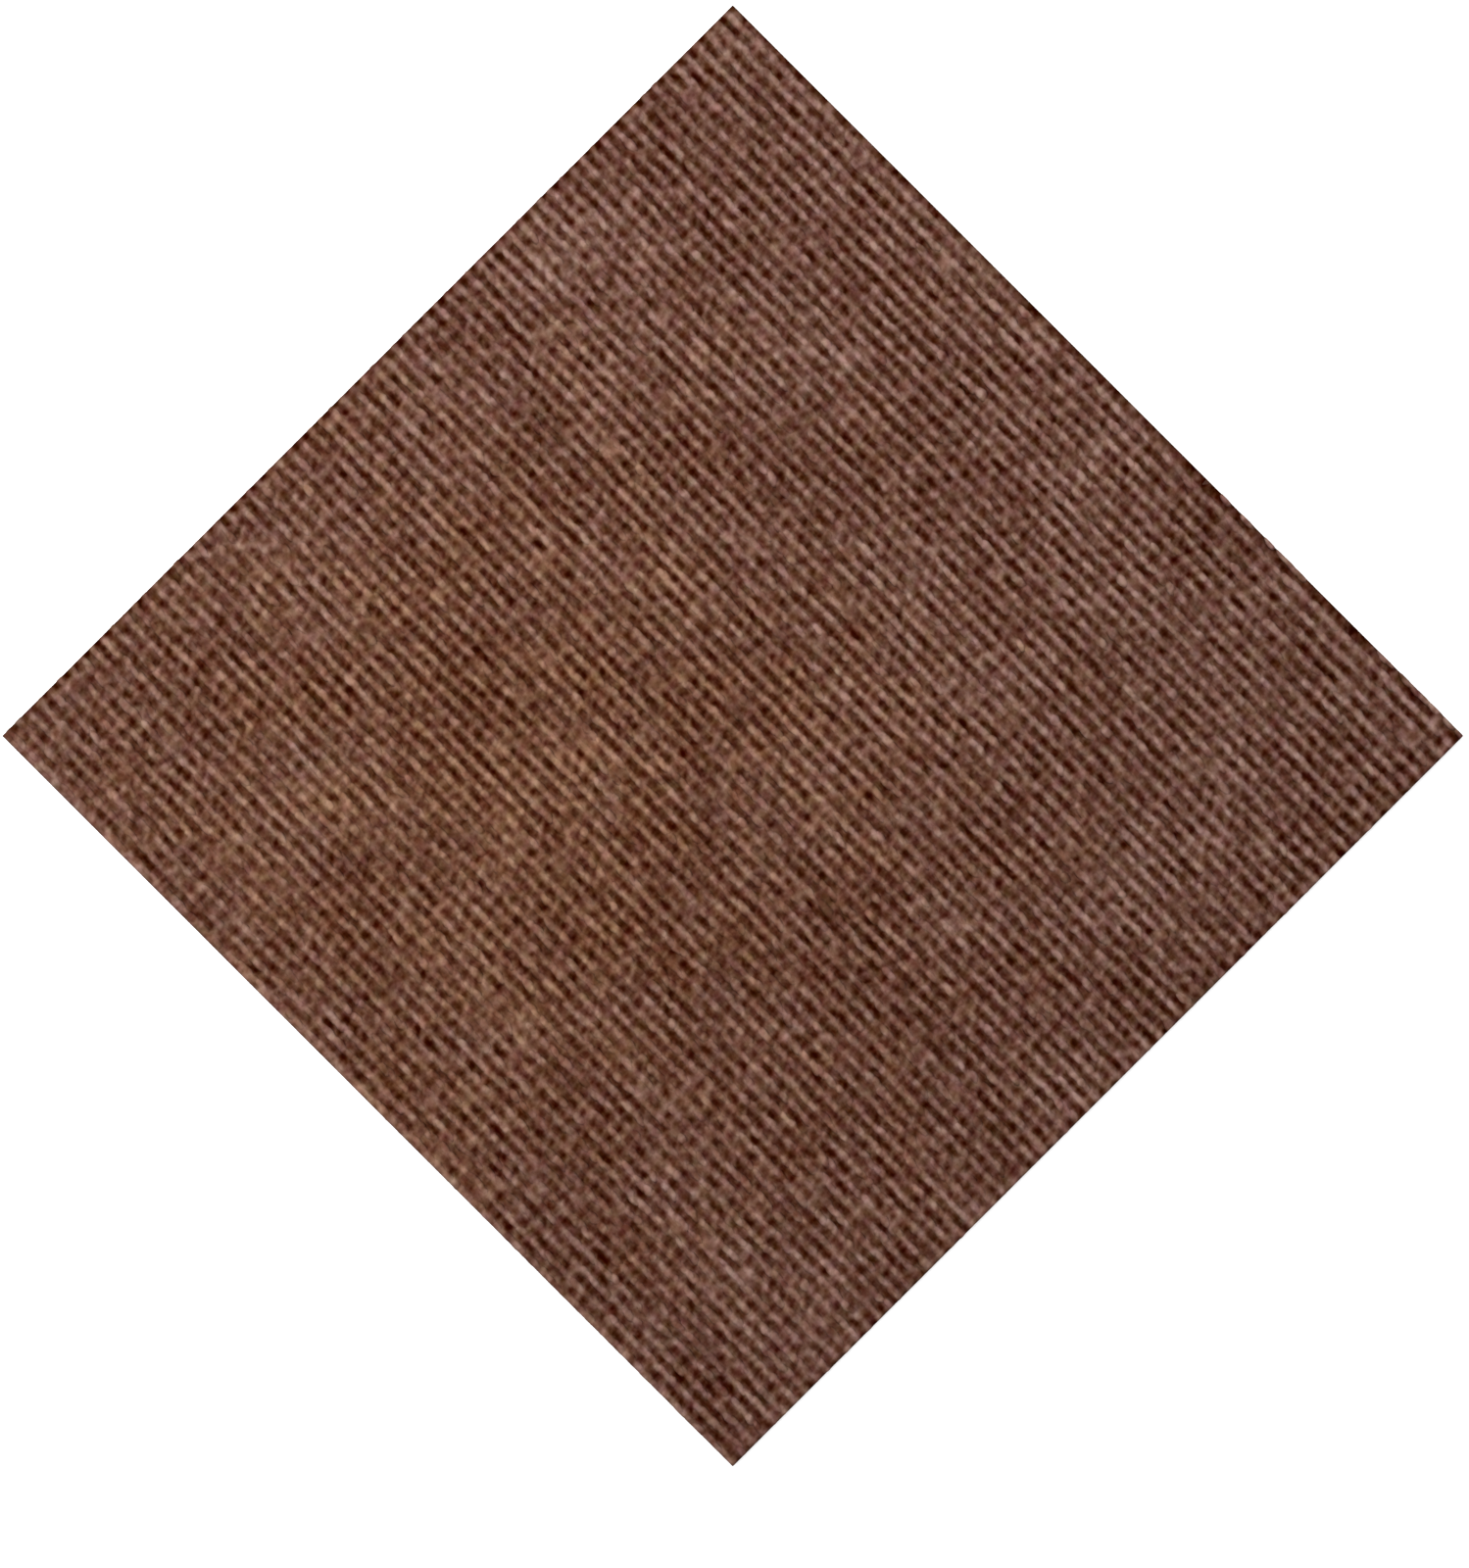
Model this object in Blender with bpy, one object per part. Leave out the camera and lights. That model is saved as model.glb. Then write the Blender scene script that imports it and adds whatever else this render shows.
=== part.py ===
"""A square carpet tile: a ribbed loop-pile face bonded to a flat, heavy backing slab.

Metres, +Z up. The tile lies flat with the centre of its underside at the origin, and its
ribs run along Y, side by side along X.
"""

import math

import bmesh
import bpy

TILE_WIDTH = 0.500  # across the ribs, along X
TILE_LENGTH = 0.500  # along the ribs, Y
BACKING_THICKNESS = 0.0030
BOND_GAP = 0.0003  # room kept between the backing slab and the face bonded to it
FACE_CLOTH_THICKNESS = 0.0014  # primary cloth and the feet of the loops, below the grooves
RIB_HEIGHT = 0.0023  # groove floor to crest
RIB_PITCH = 0.00712  # crest to crest
FIRST_CREST = 0.0050  # from the +X edge in to the first crest
CREST_FULLNESS = 2.4  # 2 is a plain arc across each rib, and more is flatter on top
RIB_STEPS = 8  # straight steps that draw one rib

PILE_BROWN = (0.150, 0.067, 0.044, 1.0)
BACKING_GREY = (0.034, 0.032, 0.031, 1.0)


def clear_scene():
    for obj in list(bpy.data.objects):
        bpy.data.objects.remove(obj, do_unlink=True)


def make_material(name, color, roughness):
    material = bpy.data.materials.new(name)
    material.use_nodes = True
    shader = material.node_tree.nodes["Principled BSDF"]
    shader.inputs["Base Color"].default_value = color
    shader.inputs["Roughness"].default_value = roughness
    shader.inputs["Metallic"].default_value = 0.0
    return material


def rib_rise(x):
    """Height of the pile over its groove floor at x: RIB_HEIGHT times 1 - |u| ** CREST_FULLNESS,
    where u runs from -1 to 1 across the rib that x is on."""
    ribs_in = (TILE_WIDTH / 2 - FIRST_CREST - x) / RIB_PITCH
    across = 2 * (ribs_in - round(ribs_in))
    return RIB_HEIGHT * (1 - abs(across) ** CREST_FULLNESS)


def rib_stations():
    """X of each point along the pile's top: both cut edges, and every step of the ribs between
    them, so that each crest and each groove floor has a point of its own."""
    edge = TILE_WIDTH / 2
    step = RIB_PITCH / RIB_STEPS
    first_crest = edge - FIRST_CREST
    lowest = math.ceil((-edge - first_crest) / step)
    highest = math.floor((edge - first_crest) / step)
    inner = [first_crest + n * step for n in range(lowest, highest + 1)]
    clear_of_edge = edge - step / 4
    return [-edge] + [x for x in inner if abs(x) < clear_of_edge] + [edge]


def add_backing(collection):
    """The flat slab that the tile rests and is glued down on."""
    mesh = bpy.data.meshes.new("backing")
    slab = bmesh.new()
    bmesh.ops.create_cube(slab, size=1.0)
    bmesh.ops.scale(slab, vec=(TILE_WIDTH, TILE_LENGTH, BACKING_THICKNESS), verts=slab.verts)
    slab.to_mesh(mesh)
    slab.free()
    mesh.materials.append(make_material("backing_grey", BACKING_GREY, 0.85))
    backing = bpy.data.objects.new("backing", mesh)
    backing.location.z = BACKING_THICKNESS / 2
    collection.objects.link(backing)


def add_loop_pile(collection):
    """The face: its section across the ribs is one flat outline, drawn in X and Z and run
    along Y from cut edge to cut edge."""
    underside = BACKING_THICKNESS + BOND_GAP
    groove_floor = underside + FACE_CLOTH_THICKNESS
    top = [(x, groove_floor + rib_rise(x)) for x in rib_stations()]
    outline = [(TILE_WIDTH / 2, underside), (-TILE_WIDTH / 2, underside)] + top

    section = bpy.data.curves.new("loop_pile", "CURVE")
    section.dimensions = "2D"
    section.fill_mode = "BOTH"
    section.extrude = TILE_LENGTH / 2
    spline = section.splines.new("POLY")
    spline.points.add(len(outline) - 1)
    for point, (x, z) in zip(spline.points, outline):
        point.co = (x, z, 0.0, 1.0)
    spline.use_cyclic_u = True
    section.materials.append(make_material("pile_brown", PILE_BROWN, 0.95))
    pile = bpy.data.objects.new("loop_pile", section)
    pile.rotation_euler.x = math.pi / 2
    collection.objects.link(pile)


def main():
    clear_scene()
    collection = bpy.data.collections.new("carpet_tile")
    bpy.context.scene.collection.children.link(collection)
    add_backing(collection)
    add_loop_pile(collection)


main()
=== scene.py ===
import math

import bpy
import numpy as np
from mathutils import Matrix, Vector


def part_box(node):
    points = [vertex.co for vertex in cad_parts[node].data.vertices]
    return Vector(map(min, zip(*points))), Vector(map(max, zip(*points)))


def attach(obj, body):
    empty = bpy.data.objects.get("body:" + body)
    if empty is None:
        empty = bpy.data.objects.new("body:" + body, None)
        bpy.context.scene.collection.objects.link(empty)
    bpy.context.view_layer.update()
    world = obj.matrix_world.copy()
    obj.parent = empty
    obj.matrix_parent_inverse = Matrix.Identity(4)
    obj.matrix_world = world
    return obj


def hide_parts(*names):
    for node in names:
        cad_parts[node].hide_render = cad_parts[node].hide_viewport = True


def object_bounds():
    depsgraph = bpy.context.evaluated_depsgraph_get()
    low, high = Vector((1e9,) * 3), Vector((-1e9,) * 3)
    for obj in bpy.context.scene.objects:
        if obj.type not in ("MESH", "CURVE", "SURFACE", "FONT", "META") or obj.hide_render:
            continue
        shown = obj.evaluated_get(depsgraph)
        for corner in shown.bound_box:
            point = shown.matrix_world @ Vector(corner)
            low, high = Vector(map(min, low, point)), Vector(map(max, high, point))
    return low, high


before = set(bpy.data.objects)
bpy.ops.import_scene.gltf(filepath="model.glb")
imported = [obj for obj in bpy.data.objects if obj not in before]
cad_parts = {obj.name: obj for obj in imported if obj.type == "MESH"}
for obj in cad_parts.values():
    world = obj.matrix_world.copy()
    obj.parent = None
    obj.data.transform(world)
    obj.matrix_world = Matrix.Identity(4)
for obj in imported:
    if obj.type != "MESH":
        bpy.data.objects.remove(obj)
cad_low, cad_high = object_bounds()


# The backing slab.
# A flat slab of mineral-filled bitumen, cast hot on the back of the face with a thin
# polyester fleece pressed into its underside, then die-cut square together with the face.


class Strand:
    """A number or a colour on its way through a finish's nodes. Written in arithmetic, each
    operator adds a Math node."""

    def __init__(self, finish, socket):
        self.finish = finish
        self.socket = socket

    def part(self, output):
        """Another output of the same node."""
        return Strand(self.finish, self.socket.node.outputs[output])

    def _math(self, operation, first, second):
        sockets = {0: first, 1: second}
        return self.finish.add("ShaderNodeMath", {"operation": operation}, sockets)

    def __add__(self, other):
        return self._math("ADD", self, other)

    __radd__ = __add__

    def __sub__(self, other):
        return self._math("SUBTRACT", self, other)

    def __rsub__(self, other):
        return self._math("SUBTRACT", other, self)

    def __mul__(self, other):
        return self._math("MULTIPLY", self, other)

    __rmul__ = __mul__

    def __pow__(self, other):
        return self._math("POWER", self, other)


class Finish:
    """One Principled material, with add() for every node that feeds it."""

    def __init__(self, name, **constants):
        self.material = bpy.data.materials.new(name)
        self.material.use_nodes = True
        self.tree = self.material.node_tree
        self.shader = self.tree.nodes["Principled BSDF"]
        self.set(**constants)

    def set(self, **values):
        """Sets or links the shader's own sockets, named with _ for a space."""
        self._fill(self.shader, {key.replace("_", " "): value for key, value in values.items()})

    def _fill(self, node, sockets):
        for key, value in sockets.items():
            if isinstance(value, Strand):
                self.tree.links.new(value.socket, node.inputs[key])
            else:
                node.inputs[key].default_value = value

    def add(self, kind, settings, sockets, output=0):
        """A node of that kind, its settings made first and then its sockets set or linked."""
        node = self.tree.nodes.new(kind)
        for key, value in settings.items():
            setattr(node, key, value)
        self._fill(node, sockets)
        return Strand(self, node.outputs[output])

    def place(self):
        """The point on the piece, in metres."""
        return self.add("ShaderNodeTexCoord", {}, {}, "Object")

    def split(self, vector):
        """The three numbers of a vector."""
        x = self.add("ShaderNodeSeparateXYZ", {}, {"Vector": vector}, "X")
        return x, x.part("Y"), x.part("Z")

    def join(self, x, y, z):
        """The vector of three numbers."""
        return self.add("ShaderNodeCombineXYZ", {}, {"X": x, "Y": y, "Z": z}, "Vector")

    def noise(self, where, scale, detail=2.0, roughness=0.5):
        """Soft random lumps, scale of them to a unit of where, from 0 to 1 and mostly near 0.5."""
        sockets = {"Vector": where, "Scale": scale, "Detail": detail, "Roughness": roughness}
        return self.add("ShaderNodeTexNoise", {}, sockets, "Fac")

    def ease(self, value, low, high):
        """0 where the value is low, 1 where it is high, and smooth between."""
        settings = {"interpolation_type": "SMOOTHSTEP"}
        sockets = {"Value": value, "From Min": low, "From Max": high}
        return self.add("ShaderNodeMapRange", settings, sockets, "Result")

    def mix(self, factor, first, second, blend="MIX"):
        """The first colour, changed by the second as far as the factor says."""
        settings = {"data_type": "RGBA", "blend_type": blend}
        return self.add("ShaderNodeMix", settings, {0: factor, 6: first, 7: second}, 2)

    def bump(self, height, metres, strength=1.0):
        """The surface's slope with that height, times metres, laid on it."""
        sockets = {"Height": height, "Distance": metres, "Strength": strength}
        return self.add("ShaderNodeBump", {}, sockets, "Normal")


slab_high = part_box("backing")[1]
slab_grey = (0.060, 0.057, 0.055, 1.0)
fleece_grey = (0.16, 0.155, 0.15, 1.0)
slab_relief = 0.00025

slab = Finish("filled_bitumen", Metallic=0.0, Specular_IOR_Level=0.3)
where = slab.place()
filler = slab.noise(where, 900.0, 3.0)
blotches = slab.noise(where, 60.0, 4.0)
fibres = slab.noise(where, 420.0, 6.0, 0.8)
facing = slab.add("ShaderNodeNewGeometry", {}, {}, "Normal")
downward = slab.split(facing)[2] * -1.0
fleece = slab.ease(fibres, 0.47, 0.56) * slab.ease(downward, 0.5, 0.9)
slab.set(
    Base_Color=slab.mix(fleece * 0.8 + filler * 0.15, slab_grey, fleece_grey),
    Roughness=0.7 + blotches * 0.25,
    Normal=slab.bump(fibres + filler * 0.4, slab_relief),
)
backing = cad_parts["backing"]
backing.data.materials.clear()
backing.data.materials.append(slab.material)


# The primary cloth.
# A brown woven tape-yarn cloth that the loops are tufted through, stiffened from below with
# a coat that grips their feet. It lies flat on the slab and shows only deep in the grooves.

face_low, face_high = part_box("loop_pile")
cloth_top = slab_high.z + 0.0014
cloth_cells = 48
cloth_unevenness = 0.00012
cloth_waves = (1350.0, 1150.0)
tape_dark = (0.030, 0.010, 0.006, 1.0)
tape_light = (0.075, 0.028, 0.016, 1.0)
tape_relief = 0.0003


def cloth_slab():
    """A closed slab's top and floor, as points [column, row, xyz]. With the cloth's two waves a
    and b, the top is z = cloth_top + cloth_unevenness * sin(a x) * sin(b y), and the floor lies
    on the slab."""
    xs = np.linspace(face_low.x, face_high.x, cloth_cells + 1)
    ys = np.linspace(face_low.y, face_high.y, cloth_cells + 1)
    x, y = np.meshgrid(xs, ys, indexing="ij")
    ripple = np.sin(x * cloth_waves[0]) * np.sin(y * cloth_waves[1])
    upper = np.stack([x, y, cloth_top + cloth_unevenness * ripple], axis=-1)
    lower = np.stack([x, y, np.full_like(x, slab_high.z)], axis=-1)
    return upper, lower


def mesh_piece(name, points, faces, material, smooth=True, uv=None, dye_and_shade=None):
    """A piece that rides on the tile. faces is a list of integer arrays, one row a face, and each
    array has its own number of corners. uv has a row for each corner, and the dye and shade
    attribute
    one for each point: tone, tint, and the nearness that sets the painted shade."""
    corners = np.concatenate([block.ravel() for block in faces])
    corner_counts = np.concatenate([np.full(len(block), block.shape[1]) for block in faces])
    starts = np.concatenate([[0], np.cumsum(corner_counts)[:-1]])
    mesh = bpy.data.meshes.new(name)
    mesh.vertices.add(len(points))
    mesh.vertices.foreach_set("co", np.asarray(points, np.float32).ravel())
    mesh.loops.add(len(corners))
    mesh.loops.foreach_set("vertex_index", corners.astype(np.int32))
    mesh.polygons.add(len(corner_counts))
    mesh.polygons.foreach_set("loop_start", starts.astype(np.int32))
    mesh.update(calc_edges=True)
    mesh.polygons.foreach_set("use_smooth", np.full(len(corner_counts), smooth))
    if uv is not None:
        mesh.uv_layers.new(name="yarn").data.foreach_set("uv", uv.astype(np.float32).ravel())
    if dye_and_shade is not None:
        layer = mesh.attributes.new("dye_and_shade", "FLOAT_VECTOR", "POINT")
        layer.data.foreach_set("vector", dye_and_shade.astype(np.float32).ravel())
    mesh.materials.append(material)
    piece = bpy.data.objects.new(name, mesh)
    bpy.context.scene.collection.objects.link(piece)
    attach(piece, "root")
    return piece


def grid_quads(columns, steps, first=0, flip=False):
    """Quads of a grid of points that is columns by steps, stored from the point called first."""
    index = first + np.arange(columns * steps).reshape(columns, steps)
    quads = np.stack([index[:-1, :-1], index[1:, :-1], index[1:, 1:], index[:-1, 1:]], axis=-1)
    quads = quads.reshape(-1, 4)
    return quads[:, ::-1] if flip else quads


def rim_of(columns, steps):
    """The points on the edge of such a grid, in their order round it."""
    index = np.arange(columns * steps).reshape(columns, steps)
    return np.concatenate([index[:-1, 0], index[-1, :-1], index[:0:-1, -1], index[0, :0:-1]])


def wall_quads(upper_ring, lower_ring, flip=False):
    """Quads of the wall between two rings of points."""
    ahead = np.roll(upper_ring, -1)
    ahead_below = np.roll(lower_ring, -1)
    if flip:
        return np.stack([upper_ring, ahead, ahead_below, lower_ring], axis=-1)
    return np.stack([upper_ring, lower_ring, ahead_below, ahead], axis=-1)


cloth = Finish("primary_cloth", Metallic=0.0, Specular_IOR_Level=0.2, Roughness=0.95)
where = cloth.place()
tape = cloth.noise(where, 700.0, 3.0)
cloth.set(
    Base_Color=cloth.mix(tape, tape_dark, tape_light),
    Normal=cloth.bump(tape, tape_relief),
)

upper, lower = cloth_slab()
across_cloth = cloth_cells + 1
points_above = across_cloth**2
rim = rim_of(across_cloth, across_cloth)
primary_cloth = mesh_piece(
    "primary_cloth",
    np.concatenate([upper.reshape(-1, 3), lower.reshape(-1, 3)]),
    [
        grid_quads(across_cloth, across_cloth),
        grid_quads(across_cloth, across_cloth, points_above, flip=True),
        wall_quads(rim, rim + points_above),
    ],
    cloth.material,
    smooth=False,
)
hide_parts("loop_pile")


# The rib ground.
# Under the loops' tops lie their packed sides and feet, matted into low ribs that run along Y.
# Where neighbouring rows touch, fibres bridge the groove. Where they don't, it is a dark pit.

row_pitch = 0.00712
first_row = face_high.x - 0.0050
row_skew = 0.0025
row_sway = 0.00020
row_wobble = 0.00020
rows = round((face_high.x - face_low.x) / row_pitch) + 2
ground_step = 0.0024
ground_steps = round((face_high.y - face_low.y) / ground_step)
columns_in_rib = 6
rib_shoulder = face_high.z - 0.0009
rib_fullness = 1.1
groove_floor = cloth_top + 0.0004
bridge_height = 0.00055
bridge_usual = 0.2
bridge_least, bridge_most = -0.3, 2.6
ground_unevenness = 0.00012
sole_room = 0.00005
edge_room = 0.0006
cut_back = 0.0003
rng = np.random.default_rng(71)


def blurred(values, spread, axis):
    """values averaged with their neighbours along an axis, weighted by a bell of that spread, and
    made as wide-ranging again as they were."""
    reach = max(1, round(3 * spread))
    offsets = np.arange(-reach, reach + 1)
    weights = np.exp(-0.5 * (offsets / spread) ** 2)
    total = sum(w * np.roll(values, o, axis=axis) for o, w in zip(offsets, weights))
    return total / math.sqrt((weights**2).sum())


def unruly(columns, along=0.0, across=0.0):
    """A random number with a spread of 1 for each place on each row. Places within along of one
    another on a row, or across rows of one another, share most of it."""
    values = rng.standard_normal((rows, columns))
    if along:
        values = blurred(values, along, axis=1)
    if across:
        values = blurred(values, across, axis=0)
    return values


row = np.arange(rows)[:, None] - 1
ground_y = np.linspace(face_low.y, face_high.y, ground_steps + 1)[None, :]
row_line = (
    first_row - row * row_pitch - row_skew * (face_high.y - ground_y) / (face_high.y - face_low.y)
)
row_line = row_line + row_sway * unruly(ground_steps + 1, 8.0, 1.5)
row_line = row_line + row_wobble * unruly(ground_steps + 1, 1.8)
bridging = unruly(ground_steps + 1, 0.8)


def nearness(distance):
    """How near a point is to its row's middle line: 0.5 + 0.5 * cos(2 pi * distance / pitch)."""
    return 0.5 + 0.5 * np.cos(2 * math.pi * distance / row_pitch)


def rib_ground():
    """The mat's top as points [column, step, xyz], and the nearness of each. From one row's middle
    line, c = 0, to the next, c = 1, x runs straight between the two lines, and the height is
    floor + (shoulder - floor) * nearness ** rib_fullness, a little uneven, where the floor is
    raised by what bridges the groove. The outermost points stand cut_back inside the cut edges."""
    c = (np.arange(columns_in_rib) / columns_in_rib)[None, :, None]
    this, following = row_line[:-1, None, :], row_line[1:, None, :]
    x = (this + (following - this) * c).reshape(-1, ground_steps + 1)
    bridged = np.clip(bridging[:-1, None, :] + bridge_usual, bridge_least, bridge_most)
    floor_height = groove_floor + bridge_height * bridged
    hump = nearness(c * row_pitch)
    z = floor_height + (rib_shoulder - floor_height) * hump**rib_fullness
    z = z.reshape(-1, ground_steps + 1)
    z = z + ground_unevenness * rng.standard_normal(z.shape)
    z = np.maximum(z, cloth_top + sole_room)
    near = np.tile(hump, (len(this), 1, ground_steps + 1)).reshape(-1, ground_steps + 1)
    inside = (x.max(axis=1) < face_high.x - edge_room) & (x.min(axis=1) > face_low.x + edge_room)
    x, z, near = (
        np.concatenate([values[inside][:1], values[inside], values[inside][-1:]])
        for values in (x, z, near)
    )
    x[0], x[-1] = face_high.x - cut_back, face_low.x + cut_back
    y = np.clip(ground_y, face_low.y + cut_back, face_high.y - cut_back)
    return np.stack([x, y + np.zeros_like(x), z], axis=-1), near


# The pile's end colours as a screen shows them, and how strongly each thing changes them.
# The deep colours are darker and redder than the crest colours: painted shade deep in the grooves.
deep_dark = (0.150, 0.041, 0.0, 1.0)
deep_light = (0.383, 0.274, 0.231, 1.0)
deep_contrast = 1.056
crest_dark = (0.3545, 0.2385, 0.2005, 1.0)
crest_light = (0.5885, 0.4725, 0.4345, 1.0)
screen_gamma = 2.2
clumps_per_metre, clump_strength = 205.0, 2.0
clouds_per_metre, cloud_strength = 14.0, 0.65
patches_per_metre, patch_strength = 45.0, 2.4
strands_per_metre, strand_strength = 170.0, 0.028
hues_per_metre, hue_strength = 40.0, 4.0
olive_cast = (1.06, 0.98, 0.76, 1.0)
olive_centre = (-0.10, 0.05)
shaded_rim = (face_high.y - 0.0040, face_high.y - 0.0008)
rim_shade = 0.28
mat_relief = 0.0004


def heather_and_shade(finish, where, tone, tint, near, grain):
    """The colour of the pile, with painted light and shade in it. light says how light the fibres
    are: in clumps askew to the rows, in clouds over the tile, from loop to loop by tone, and finely
    by grain.
    It is painted lighter towards +y, the key lamp's side, as a painted fall-off of light, and darker
    along the +y cut edge as painted shade. The pile is painted redder and darker deep down than at
    the crests, as painted shade in the grooves and on the loops' flanks. This is stronger towards
    +x, and less so in some patches than in others. The four colours are mixed as a screen shows
    them, with a little of a coloured noise for single strands, and then turned into light. An olive
    cast, stronger or weaker by tint, lies left of the middle."""
    x, y, z = finish.split(where)
    rise = finish.ease(z, groove_floor - 0.0004, face_high.z - 0.0002)
    depth = rise * 0.45 + near * 0.55
    askew = finish.join(x * 0.90 - y * 0.20, y * 1.15, z)
    clumps = finish.noise(askew, clumps_per_metre, 1.5)
    clouds = finish.noise(where, clouds_per_metre, 3.0)
    patches = finish.noise(where, patches_per_metre, 2.0, 1.0)
    light = 0.5 + (clumps - 0.5) * clump_strength + tone * 0.03 + grain
    light = light + (clouds - 0.5) * cloud_strength
    contrast = x * 0.42 + (patches - 0.5) * patch_strength
    # Painted shade deep in the grooves, as strong as contrast says, and a painted fall-off of light,
    # lighter towards +y where the key lamp stands.
    light = light + (depth - 0.5) * contrast + y * 0.08
    light = light - finish.ease(y, *shaded_rim) * rim_shade
    deep_light_share = light * deep_contrast - (deep_contrast - 1.0)
    deep = finish.mix(deep_light_share, deep_dark, deep_light)
    crest = finish.mix(light, crest_dark, crest_light)
    strands = finish.noise(where, strands_per_metre, 1.5).part("Color")
    # Painted shade: the deep colours low down, in the grooves and on the loops' flanks, the crest
    # colours on top.
    seen = finish.mix(depth, deep, crest)
    seen = finish.mix(strand_strength, seen, strands, "LINEAR_LIGHT")
    lit = finish.add("ShaderNodeGamma", {}, {"Color": seen, "Gamma": screen_gamma})
    aside = ((x - olive_centre[0]) ** 2.0 + (y - olive_centre[1]) ** 2.0) ** 0.5
    hues = finish.noise(where, hues_per_metre, 2.0)
    olive = tint * 0.2 + (hues - 0.5) * hue_strength + 1.1 - aside * 8.0
    return finish.mix(finish.ease(olive, -1.6, 1.6), lit, olive_cast, "MULTIPLY")


mat = Finish("rib_ground", Metallic=0.0, Specular_IOR_Level=0.0, Roughness=0.9)
where = mat.place()
fuzz = mat.noise(where, 900.0, 3.0, 0.7)
x, y, z = mat.split(where)
bend = mat.noise(where, 260.0, 1.0)
combed = mat.join(x * 3200.0 + bend * 6.0, y * 420.0, z * 3200.0)
fibres = mat.noise(combed, 1.0, 3.0, 0.65)
# The attribute's third number, nearness to a rib's middle, sets the painted shade in the grooves.
dye_and_shade = mat.add("ShaderNodeAttribute", {"attribute_name": "dye_and_shade"}, {}, "Vector")
shade_near = mat.split(dye_and_shade)[2]
grain = (fuzz - 0.5) * 0.3 + (fibres - 0.5) * 0.4
mat.set(
    Base_Color=heather_and_shade(mat, where, 0.0, 0.0, shade_near, grain),
    Normal=mat.bump(fuzz * 0.6 + fibres, mat_relief, 0.8),
)

mat_top, near = rib_ground()
columns, steps, _ = mat_top.shape
rim = rim_of(columns, steps)
sole = mat_top.reshape(-1, 3)[rim]
sole[:, 2] = cloth_top
sole_ring = columns * steps + np.arange(len(rim))
near = np.concatenate([near.ravel(), near.ravel()[rim]])
ground = mesh_piece(
    "rib_ground",
    np.concatenate([mat_top.reshape(-1, 3), sole]),
    [
        grid_quads(columns, steps, flip=True),
        wall_quads(rim, sole_ring, flip=True),
        sole_ring[None, :],
    ],
    mat.material,
    dye_and_shade=np.stack([np.zeros_like(near), np.zeros_like(near), near], axis=-1),
)
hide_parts("loop_pile")


# The loops' tops.
# Fat bights of bulky two-ply yarn, spun from tan, rose and olive brown fibres, a needle's row to
# each rib. They overlap along the row, a little askew to it, as the strands of a rope do.

stitch = 0.0042
loops_in_row = round((face_high.y - face_low.y) / stitch) + 3
stations = np.array([-1.0, -0.72, -0.28, 0.28, 0.72, 1.0])
section_angles = np.radians([-5.0, 30.0, 66.0, 114.0, 150.0, 185.0, 270.0])
tucked_in = 0.0008
foot_lean = 0.55
foot_narrowing = 0.45
foot_level = cloth_top - 0.0004
foot_squash = 0.1
ply_swell = 0.09
ply_twist = 1.6
yarn_relief = 0.0005
slump_reach = 0.0050
slump_length = 0.0045
slump_depth = 0.0004
end_room = 0.0005
side_room = 0.0002
cut_raggedness = 0.0002


def along_row(values, y):
    """The rows' values, one for each ground step, read at each loop's y in its own row."""
    at = np.clip((y - face_low.y) / (face_high.y - face_low.y) * ground_steps, 0, ground_steps)
    before = np.minimum(at.astype(int), ground_steps - 1)
    share = at - before
    rank = np.arange(rows)[:, None]
    return values[rank, before] * (1 - share) + values[rank, before + 1] * share


def varied(mean, share):
    """A measure of each loop: the mean, give or take that share of it."""
    return mean * (1 + share * unruly(loops_in_row))


step = np.arange(loops_in_row)[None, :] - 1
loop_y = face_low.y + stitch * (step + rng.random((rows, 1)) + 0.25 * unruly(loops_in_row))
loop_x = along_row(row_line, loop_y) + 0.00024 * unruly(loops_in_row)
loop_top = face_high.z - 0.0005 + 0.00018 * unruly(loops_in_row)
half_width = varied(0.00195, 0.13)
half_thick = varied(0.00120, 0.08)
half_length = varied(0.00370, 0.14)
tip = varied(0.00020, 0.8)
slant = np.radians(-7.0 + 6.0 * unruly(loops_in_row))
ply_turn = rng.uniform(0, 2 * math.pi, (rows, loops_in_row))
tone = unruly(loops_in_row)
tint = unruly(loops_in_row, 1.0)

# The last loops of a row slump at the cut. A loop whose middle would lie at or past a cut edge
# isn't standing, and the others at that edge are cut through, a little raggedly.
slump = np.clip((np.abs(loop_y) - face_high.y + slump_reach) / slump_length, 0, 1)
loop_top = np.minimum(loop_top - slump_depth * slump, face_high.z)
standing = (
    (np.abs(loop_y) < face_high.y - end_room)
    & (loop_x < face_high.x - side_room)
    & (loop_x > face_low.x + side_room)
)
cut_off = cut_raggedness * rng.random((rows, loops_in_row))
least_y = half_length * 0.5
least_x = half_width * 0.3
loop_y = np.clip(loop_y, face_low.y + least_y, face_high.y - least_y)
loop_x = np.clip(loop_x, face_low.x + least_x, face_high.x - least_x)


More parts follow.
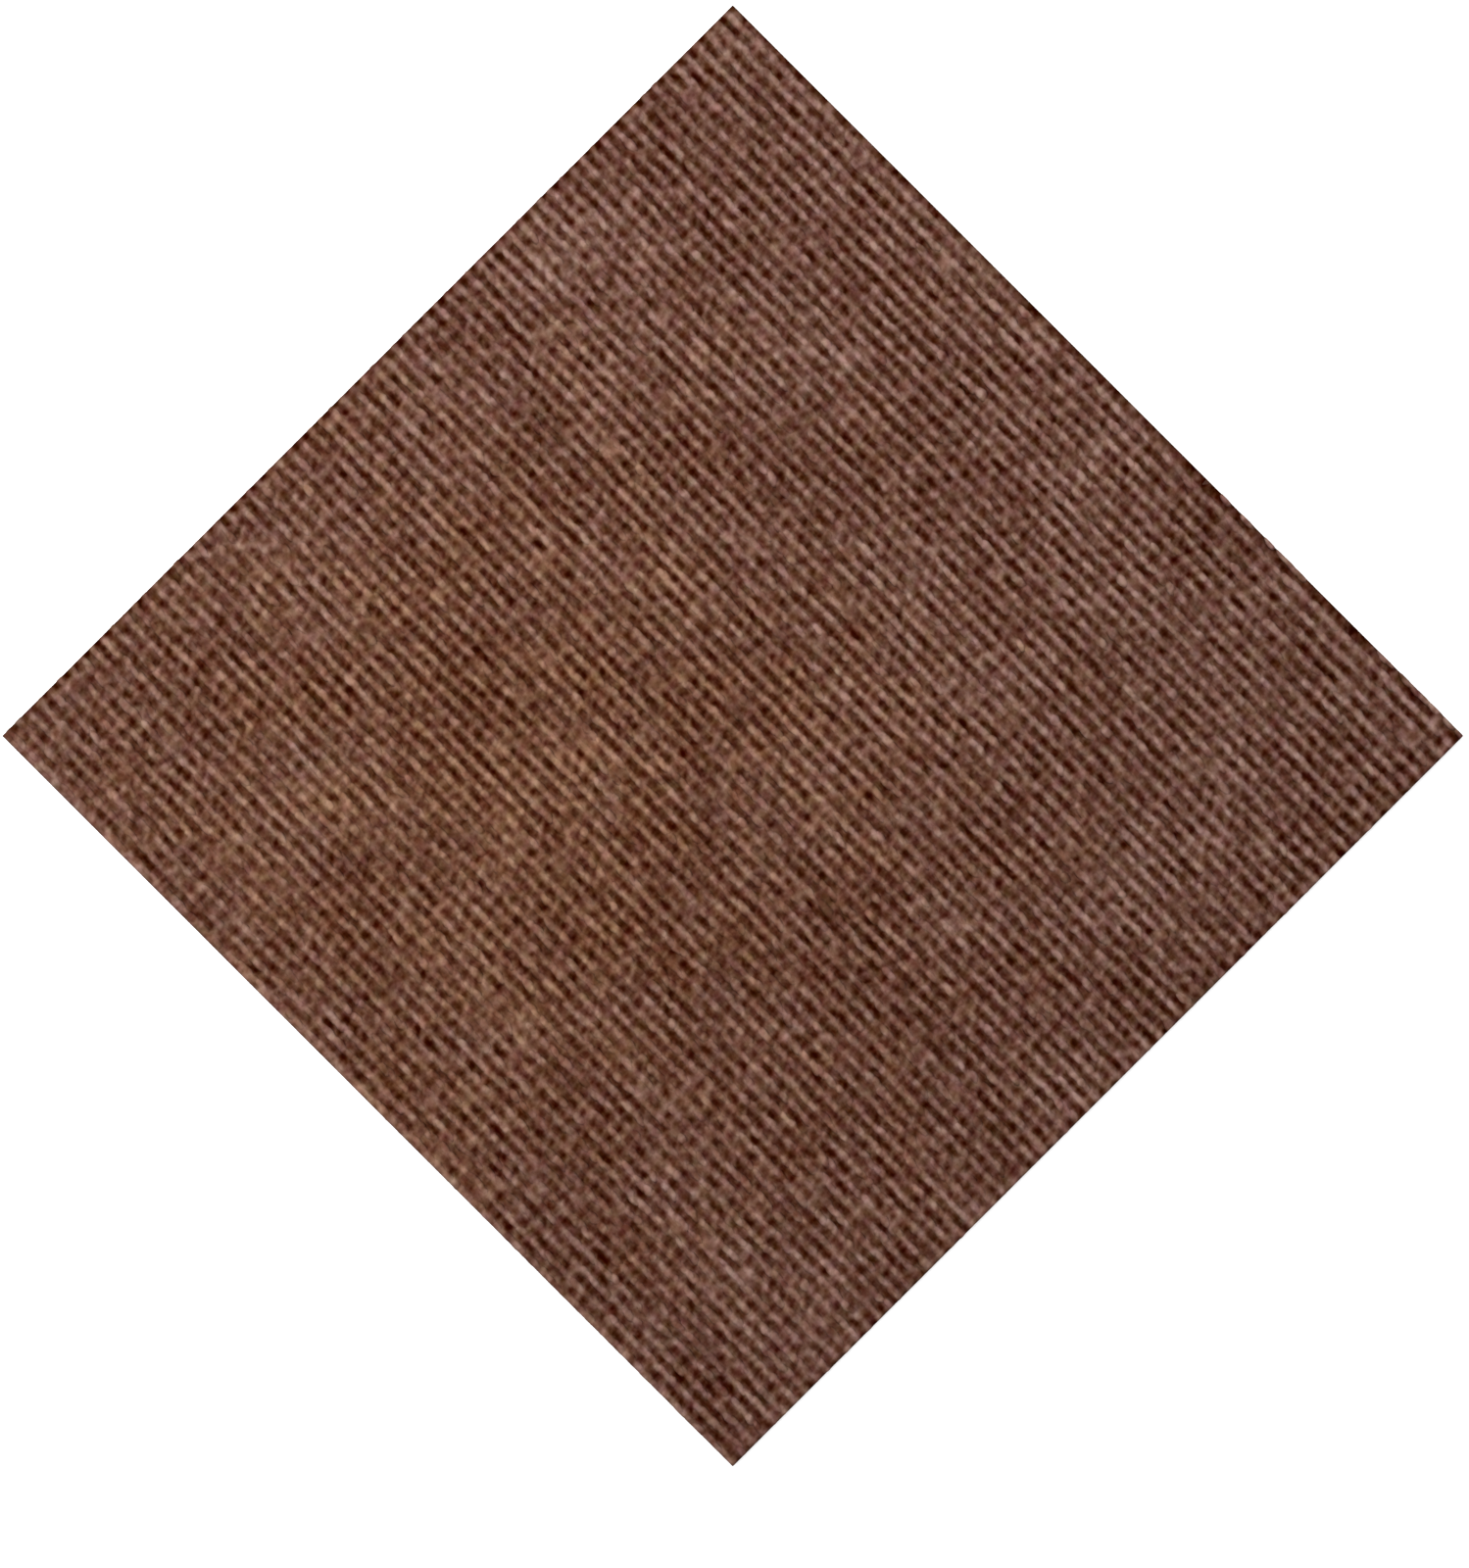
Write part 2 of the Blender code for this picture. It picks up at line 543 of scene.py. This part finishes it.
def loop_surface(which):
    """The yarn loops of the chosen places, as points [loop, station, round the yarn, xyz].
    With t from -1 to 1 from foot to foot, the yarn's middle line runs along its row as
    half_length * t, at a height of loop_top - half_thick - tucked_in * |t| ** 3 + tip * t, and
    its section leans with it. The section is an ellipse at the angle s, wide across the row, times
    1 + ply_swell * cos(2 * (s - ply_twist * t) + ply_turn) for the two plies, and narrower by
    foot_narrowing * |t| ** 2.5. What would pass a cut edge lies on it, cut_off inside the tile,
    and what would lie below foot_level is squashed towards it."""
    t = stations[None, :, None]
    s = section_angles[None, None, :]
    top, wide, thick, length, turn, tilt, tip_up, x0, y0, off = (
        values[which][:, None, None]
        for values in (
            loop_top,
            half_width,
            half_thick,
            half_length,
            ply_turn,
            slant,
            tip,
            loop_x,
            loop_y,
            cut_off,
        )
    )
    slope = np.arctan(-3 * tucked_in * t * np.abs(t) / length * foot_lean)
    swell = 1 + ply_swell * np.cos(2 * (s - ply_twist * t) + turn)
    narrowing = 1 - foot_narrowing * np.abs(t) ** 2.5
    side = wide * narrowing * swell * np.cos(s)
    outward = thick * swell * np.sin(s)
    along = length * t - outward * np.sin(slope)
    z = top - thick - tucked_in * np.abs(t) ** 3 + tip_up * t + outward * np.cos(slope)
    x = x0 + side * np.cos(tilt) - along * np.sin(tilt)
    y = y0 + side * np.sin(tilt) + along * np.cos(tilt)
    x = np.clip(x, face_low.x + off, face_high.x - off)
    y = np.clip(y, face_low.y + off, face_high.y - off)
    z = np.maximum(z, foot_level + foot_squash * (z - foot_level))
    z = np.minimum(z, face_high.z)
    return np.stack(np.broadcast_arrays(x, y, z), axis=-1)


def tube_faces(count, lengthwise, around):
    """Quads and end caps of that many tubes, each lengthwise by around points, and the UV of
    every corner: along the yarn, and round it."""
    index = np.arange(lengthwise * around).reshape(lengthwise, around)
    ahead = np.roll(index, -1, axis=1)
    quads = np.stack([index[:-1], index[1:], ahead[1:], ahead[:-1]], axis=-1).reshape(-1, 4)
    caps = np.stack([index[0], index[-1, ::-1]])
    first = (np.arange(count) * lengthwise * around)[:, None, None]
    quads = (quads[None] + first).reshape(-1, 4)
    caps = (caps[None] + first).reshape(-1, around)
    u, v = np.meshgrid(
        np.linspace(0, 1, lengthwise), np.linspace(0, 1, around + 1), indexing="ij"
    )
    grid = np.stack([u, v], axis=-1)
    quad_uv = np.stack([grid[:-1, :-1], grid[1:, :-1], grid[1:, 1:], grid[:-1, 1:]], axis=2)
    quad_uv = np.tile(quad_uv.reshape(-1, 2), (count, 1))
    cap_uv = np.zeros((count * 2 * around, 2))
    return quads, caps, np.concatenate([quad_uv, cap_uv])


yarn = Finish("heather_yarn", Metallic=0.0, Specular_IOR_Level=0.0, Roughness=0.8)
where = yarn.place()
along_yarn, round_yarn, _ = yarn.split(yarn.add("ShaderNodeUVMap", {"uv_map": "yarn"}, {}, "UV"))
# The attribute holds each loop's tone and tint, and the nearness to its middle that sets the painted
# shade on its flanks.
dye_and_shade = yarn.add("ShaderNodeAttribute", {"attribute_name": "dye_and_shade"}, {}, "Vector")
dye_tone, dye_tint, shade_near = yarn.split(dye_and_shade)
twisted = yarn.join(along_yarn * 5.0, round_yarn * 34.0 + along_yarn * 14.0, dye_tone * 9.0)
streaks = yarn.noise(twisted, 1.0, 3.0, 0.6)
fuzz = yarn.noise(where, 900.0, 3.0, 0.7)
grain = (fuzz - 0.5) * 0.25 + (streaks - 0.5) * 0.30
yarn.set(
    Base_Color=heather_and_shade(yarn, where, dye_tone, dye_tint, shade_near, grain),
    Normal=yarn.bump(streaks + fuzz * 0.6, yarn_relief, 0.8),
)

bands = 6
rows_in_band = math.ceil(rows / bands)
for band in range(bands):
    chosen = standing & ((row + 1) // rows_in_band == band)
    points = loop_surface(chosen)
    quads, caps, uv = tube_faces(*points.shape[:3])
    dye_and_shade_values = np.empty_like(points)
    dye_and_shade_values[..., 0] = tone[chosen][:, None, None]
    dye_and_shade_values[..., 1] = tint[chosen][:, None, None]
    # Nearness to the loop's own middle, for the painted shade on its flanks.
    dye_and_shade_values[..., 2] = nearness(points[..., 0] - loop_x[chosen][:, None, None])
    rows_piece = mesh_piece(
        f"pile_rows_{band + 1}",
        points.reshape(-1, 3),
        [quads, caps],
        yarn.material,
        uv=uv,
        dye_and_shade=dye_and_shade_values.reshape(-1, 3),
    )
    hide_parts("loop_pile")


# The floor, the lights and the camera.
# A white studio floor just under the tile, painted on its upper side only, soft light from above
# and both sides, and a camera that looks straight down, with the tile's corners up, down and aside.

floor_size = 6.0
floor_gap = 0.0002
floor_glow = 0.5
bpy.ops.mesh.primitive_plane_add(size=floor_size, location=(0.0, 0.0, -floor_gap))
floor = bpy.context.object
floor.name = "floor"
paint = Finish("floor_paint", Base_Color=(0.9, 0.9, 0.9, 1.0), Roughness=0.9)
paint.set(Emission_Color=(1.0, 1.0, 1.0, 1.0), Emission_Strength=floor_glow)
below = paint.add("ShaderNodeNewGeometry", {}, {}, "Backfacing")
clear = paint.add("ShaderNodeBsdfTransparent", {}, {}, "BSDF")
painted = Strand(paint, paint.shader.outputs["BSDF"])
one_sided = paint.add("ShaderNodeMixShader", {}, {0: below, 1: painted, 2: clear}, "Shader")
paint.tree.links.new(one_sided.socket, paint.tree.nodes["Material Output"].inputs["Surface"])
floor.data.materials.append(paint.material)

# The studio round the tile looks white to the camera, and lights the tile less than that.
sky_strength = 0.60
seen_strength = 1.0
world = bpy.data.worlds.new("studio")
bpy.context.scene.world = world
world.use_nodes = True
background = world.node_tree.nodes["Background"]
background.inputs["Color"].default_value = (1.0, 1.0, 1.0, 1.0)
ray = world.node_tree.nodes.new("ShaderNodeLightPath")
strength = world.node_tree.nodes.new("ShaderNodeMapRange")
strength.inputs["To Min"].default_value = sky_strength
strength.inputs["To Max"].default_value = seen_strength
world.node_tree.links.new(ray.outputs["Is Camera Ray"], strength.inputs["Value"])
world.node_tree.links.new(strength.outputs["Result"], background.inputs["Strength"])


def soft_light(name, power, size, position):
    """A square lamp of that size, turned to the tile."""
    lamp = bpy.data.lights.new(name, "AREA")
    lamp.energy = power
    lamp.size = size
    light = bpy.data.objects.new(name, lamp)
    bpy.context.scene.collection.objects.link(light)
    light.location = position
    light.rotation_mode = "QUATERNION"
    light.rotation_quaternion = Vector(position).to_track_quat("Z", "Y")


soft_light("key", 25.2, 1.5, (0.0, 0.75, 1.25))
soft_light("side_left", 4.5, 1.2, (-1.5, 0.2, 1.1))
soft_light("side_right", 4.5, 1.2, (1.5, 0.2, 1.1))

frame_width, frame_height = 1499, 1600
tile_diagonal_px = 1493.2
tile_centre_px = (747.7, 750.8)
lens, sensor = 90.0, 36.0
turned = math.radians(-45.0)
diagonal = math.hypot(cad_high.x - cad_low.x, cad_high.y - cad_low.y)
metres_per_px = diagonal / tile_diagonal_px
distance = frame_height * metres_per_px * lens / sensor
across = (frame_width / 2 - tile_centre_px[0]) * metres_per_px
down = (frame_height / 2 - tile_centre_px[1]) * metres_per_px
camera_data = bpy.data.cameras.new("camera")
camera_data.lens = lens
camera_data.sensor_width = sensor
camera = bpy.data.objects.new("camera", camera_data)
bpy.context.scene.collection.objects.link(camera)
camera.location = (
    across * math.cos(turned) + down * math.sin(turned),
    across * math.sin(turned) - down * math.cos(turned),
    face_high.z + distance,
)
camera.rotation_euler = (0.0, 0.0, turned)
bpy.context.scene.camera = camera
bpy.context.scene.view_settings.view_transform = "Standard"
